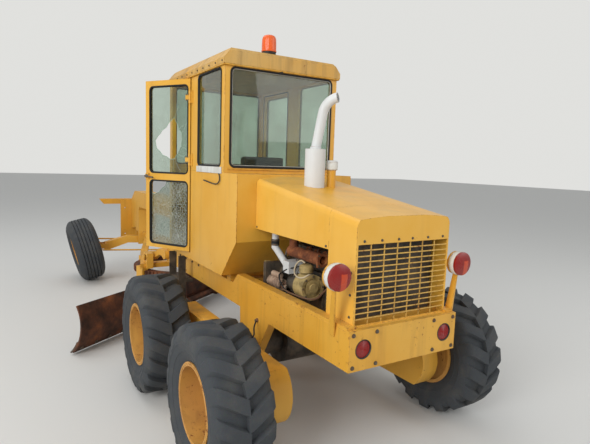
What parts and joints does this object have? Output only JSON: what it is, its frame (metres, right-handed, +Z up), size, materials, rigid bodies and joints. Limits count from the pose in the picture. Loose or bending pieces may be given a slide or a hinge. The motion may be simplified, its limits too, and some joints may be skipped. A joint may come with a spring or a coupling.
{
  "type": "motor grader",
  "caption": "Motor grader with tandem rear drive, leaning front wheels, a cab with hinged doors, and a blade that turns, lifts and shifts under its frame.",
  "frame": {"origin": "on the ground below the middle of the machine's length and width", "axes": "+X forward towards the blade and front wheels, +Y to the machine's left, +Z up"},
  "size_m": [7.16, 3.3022, 3.1918],
  "materials": {
    "frame": "satin, worn",
    "panel": "satin, faded",
    "rust": "rusty",
    "dark_iron": "oily, dusty",
    "steel": "worn bright",
    "silencer": "matt grey",
    "black": "matt",
    "cushion": "matt",
    "tyre": "weathered",
    "rim": "rusty",
    "pane": "clear",
    "red_lens": "gloss",
    "amber": "gloss",
    "grille_wire": "worn"
  },
  "bodies": {
    "chassis": {"frame_rails": "frame", "axle_housing": "dark_iron", "gooseneck": "frame", "radiator_cowl": "panel", "grille": "grille_wire", "radiator_core": "dark_iron", "hood": "panel", "engine_block": "dark_iron", "engine_fan": "dark_iron", "engine_feet": "dark_iron", "exhaust_manifold": "rust", "engine_filters": "panel", "starter": "dark_iron", "intake_pipe": "silencer", "muffler": "silencer", "pre_cleaner": "panel", "lamp_posts": "frame", "lamp_lenses": "red_lens", "cab_lower": "panel", "cab_frame": "panel", "cab_roof": "panel", "cab_windows": "pane", "beacon": "amber", "seat_base": "black", "seat_cushions": "cushion", "controls": "black", "steps": "dark_iron"},
    "tandem_left": {"tandem_case_left": "frame"},
    "tandem_right": {"tandem_case_right": "frame"},
    "wheel_rear_1": {"rim_rear_1": "rim", "tyre_rear_1": "tyre"},
    "wheel_rear_2": {"rim_rear_2": "rim", "tyre_rear_2": "tyre"},
    "wheel_rear_3": {"rim_rear_3": "rim", "tyre_rear_3": "tyre"},
    "wheel_rear_4": {"rim_rear_4": "rim", "tyre_rear_4": "tyre"},
    "front_axle": {"front_axle": "frame"},
    "lean_left": {"lean_bracket_left": "frame"},
    "lean_right": {"lean_bracket_right": "frame"},
    "lean_bar": {"lean_bar": "frame"},
    "knuckle_left": {"knuckle_left": "frame"},
    "knuckle_right": {"knuckle_right": "frame"},
    "ball_stud": {"ball_stud": "steel"},
    "tie_rod": {"tie_rod": "frame"},
    "wheel_front_left": {"rim_front_left": "rim", "tyre_front_left": "tyre"},
    "wheel_front_right": {"rim_front_right": "rim", "tyre_front_right": "tyre"},
    "door_left": {"door_left": "panel", "door_glass_left": "pane"},
    "door_right": {"door_right": "panel", "door_glass_right": "pane"},
    "drawbar": {"drawbar": "frame"},
    "circle": {"blade_circle": "frame"},
    "blade": {"mouldboard": "rust", "cutting_edge": "steel"},
    "lift_arm_left": {"lift_arm_left": "frame"},
    "lift_arm_right": {"lift_arm_right": "frame"}
  },
  "joints": [
    {"name": "tandem_left_rock", "type": "hinge", "parent": "chassis", "child": "tandem_left", "pos_m": [-2.21, 0.658, 0.561], "axis": [0, 1, 0], "range_deg": [-8, 8]},
    {"name": "tandem_right_rock", "type": "hinge", "parent": "chassis", "child": "tandem_right", "pos_m": [-2.21, -0.658, 0.561], "axis": [0, 1, 0], "range_deg": [-8, 8]},
    {"name": "wheel_rear_1_spin", "type": "hinge", "parent": "tandem_left", "child": "wheel_rear_1", "pos_m": [-2.9415, 1.046, 0.521], "axis": [0, 1, 0], "continuous": true},
    {"name": "wheel_rear_2_spin", "type": "hinge", "parent": "tandem_left", "child": "wheel_rear_2", "pos_m": [-1.4785, 1.046, 0.521], "axis": [0, 1, 0], "continuous": true},
    {"name": "wheel_rear_3_spin", "type": "hinge", "parent": "tandem_right", "child": "wheel_rear_3", "pos_m": [-2.9415, -1.046, 0.521], "axis": [0, 1, 0], "continuous": true},
    {"name": "wheel_rear_4_spin", "type": "hinge", "parent": "tandem_right", "child": "wheel_rear_4", "pos_m": [-1.4785, -1.046, 0.521], "axis": [0, 1, 0], "continuous": true},
    {"name": "front_axle_rock", "type": "hinge", "parent": "chassis", "child": "front_axle", "pos_m": [3.02, 0, 0.65887], "axis": [1, 0, 0], "range_deg": [-9, 9]},
    {"name": "lean_left_turn", "type": "hinge", "parent": "front_axle", "child": "lean_left", "pos_m": [3.02, 0.80615, 0.57504], "axis": [1, 0, 0], "range_deg": [-1, 29]},
    {"name": "lean_right_turn", "type": "hinge", "parent": "front_axle", "child": "lean_right", "pos_m": [3.02, -0.79121, 0.48311], "axis": [1, 0, 0], "range_deg": [-1, 29]},
    {"name": "lean_bar_turn", "type": "hinge", "parent": "lean_left", "child": "lean_bar", "pos_m": [3.159, 0.83276, 0.68178], "axis": [1, 0, 0], "range_deg": [-29, 1]},
    {"name": "steer_left_turn", "type": "hinge", "parent": "lean_left", "child": "knuckle_left", "pos_m": [3.02, 0.80615, 0.57504], "axis": [0, 0.2419, 0.9703], "range_deg": [-30, 30]},
    {"name": "steer_right_turn", "type": "hinge", "parent": "lean_right", "child": "knuckle_right", "pos_m": [3.02, -0.79121, 0.48311], "axis": [0, 0.2419, 0.9703], "range_deg": [-30, 30]},
    {"name": "ball_stud_turn", "type": "hinge", "parent": "knuckle_left", "child": "ball_stud", "pos_m": [2.84, 0.79502, 0.53041], "axis": [0, 0.2419, 0.9703], "range_deg": [-30, 30]},
    {"name": "tie_rod_turn", "type": "hinge", "parent": "ball_stud", "child": "tie_rod", "pos_m": [2.84, 0.79502, 0.53041], "axis": [1, 0, 0], "range_deg": [-29, 1]},
    {"name": "wheel_front_left_spin", "type": "hinge", "parent": "knuckle_left", "child": "wheel_front_left", "pos_m": [3.02, 0.9905, 0.52908], "axis": [0, 0.9703, -0.2419], "continuous": true},
    {"name": "wheel_front_right_spin", "type": "hinge", "parent": "knuckle_right", "child": "wheel_front_right", "pos_m": [3.02, -0.97557, 0.52908], "axis": [0, 0.9703, -0.2419], "continuous": true},
    {"name": "door_left_swing", "type": "hinge", "parent": "chassis", "child": "door_left", "pos_m": [-1.072, 0.592, 2], "axis": [0, 0, 1], "range_deg": [-30.6, 75]},
    {"name": "door_right_swing", "type": "hinge", "parent": "chassis", "child": "door_right", "pos_m": [-1.072, -0.592, 2], "axis": [0, 0, -1], "range_deg": [0, 105]},
    {"name": "drawbar_lift", "type": "hinge", "parent": "chassis", "child": "drawbar", "pos_m": [2.77, 0, 0.74], "axis": [0, 1, 0], "range_deg": [-3, 7.5]},
    {"name": "circle_turn", "type": "hinge", "parent": "drawbar", "child": "circle", "pos_m": [0.75, 0, 0.59], "axis": [0, 0, 1], "range_deg": [-81, 9]},
    {"name": "blade_shift", "type": "slide", "parent": "circle", "child": "blade", "axis": [-0.5878, 0.809, 0], "range_m": [-0.2, 0.2]},
    {"name": "lift_arm_left_turn", "type": "hinge", "parent": "chassis", "child": "lift_arm_left", "pos_m": [0.06, 0.48, 0.925], "axis": [0, -1, 0], "range_deg": [-14.2, 35]},
    {"name": "lift_arm_right_turn", "type": "hinge", "parent": "chassis", "child": "lift_arm_right", "pos_m": [0.06, -0.48, 0.925], "axis": [0, -1, 0], "range_deg": [-14.2, 35]}
  ],
  "couplings": [
    {"joint": "lean_right_turn", "follows": "lean_left_turn", "ratio": 1},
    {"joint": "lean_bar_turn", "follows": "lean_left_turn", "ratio": -1},
    {"joint": "tie_rod_turn", "follows": "lean_left_turn", "ratio": -1},
    {"joint": "steer_right_turn", "follows": "steer_left_turn", "ratio": 1},
    {"joint": "ball_stud_turn", "follows": "steer_left_turn", "ratio": -1},
    {"joint": "lift_arm_left_turn", "follows": "drawbar_lift", "ratio": 4.65},
    {"joint": "lift_arm_right_turn", "follows": "drawbar_lift", "ratio": 4.65}
  ]
}
